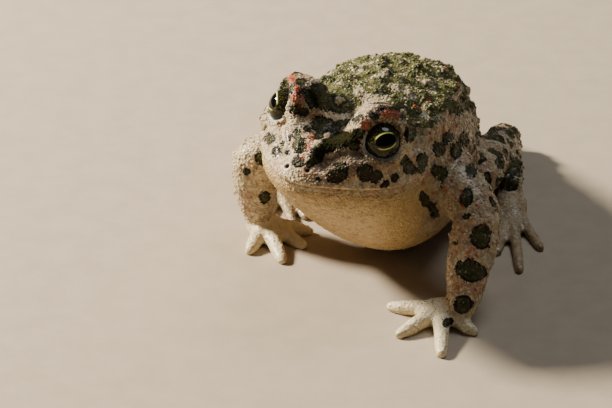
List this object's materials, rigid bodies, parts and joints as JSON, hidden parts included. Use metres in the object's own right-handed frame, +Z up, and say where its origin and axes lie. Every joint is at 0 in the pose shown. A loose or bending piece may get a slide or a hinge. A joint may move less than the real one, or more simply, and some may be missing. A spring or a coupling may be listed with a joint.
{
  "type": "toad model",
  "caption": "Life-size still toad sitting up on its forelimbs, head turned to its right, with raised eyes, parotoid glands and folded hind legs.",
  "frame": {"origin": "centre of the footprint box, on the ground", "axes": "+Z up, the toad faces -Y with its trunk along Y, its left side is +X"},
  "size_m": [0.044, 0.0676, 0.0307],
  "materials": {
    "skin": "matte, finely granular, pale beige with olive-green spots",
    "throat": "matte, finely granular, cream",
    "eye": "wet gloss"
  },
  "bodies": {
    "root": {"head": "skin", "lower_jaw": "throat", "torso": "skin", "eye_left": "eye", "eye_right": "eye", "ear_left": "skin", "ear_right": "skin", "upper_arm_left": "skin", "forearm_left": "skin", "hand_left": "skin", "thigh_left": "skin", "shank_left": "skin", "tarsus_left": "skin", "foot_left": "skin", "upper_arm_right": "skin", "forearm_right": "skin", "hand_right": "skin", "thigh_right": "skin", "shank_right": "skin", "tarsus_right": "skin", "foot_right": "skin"}
  },
  "joints": []
}
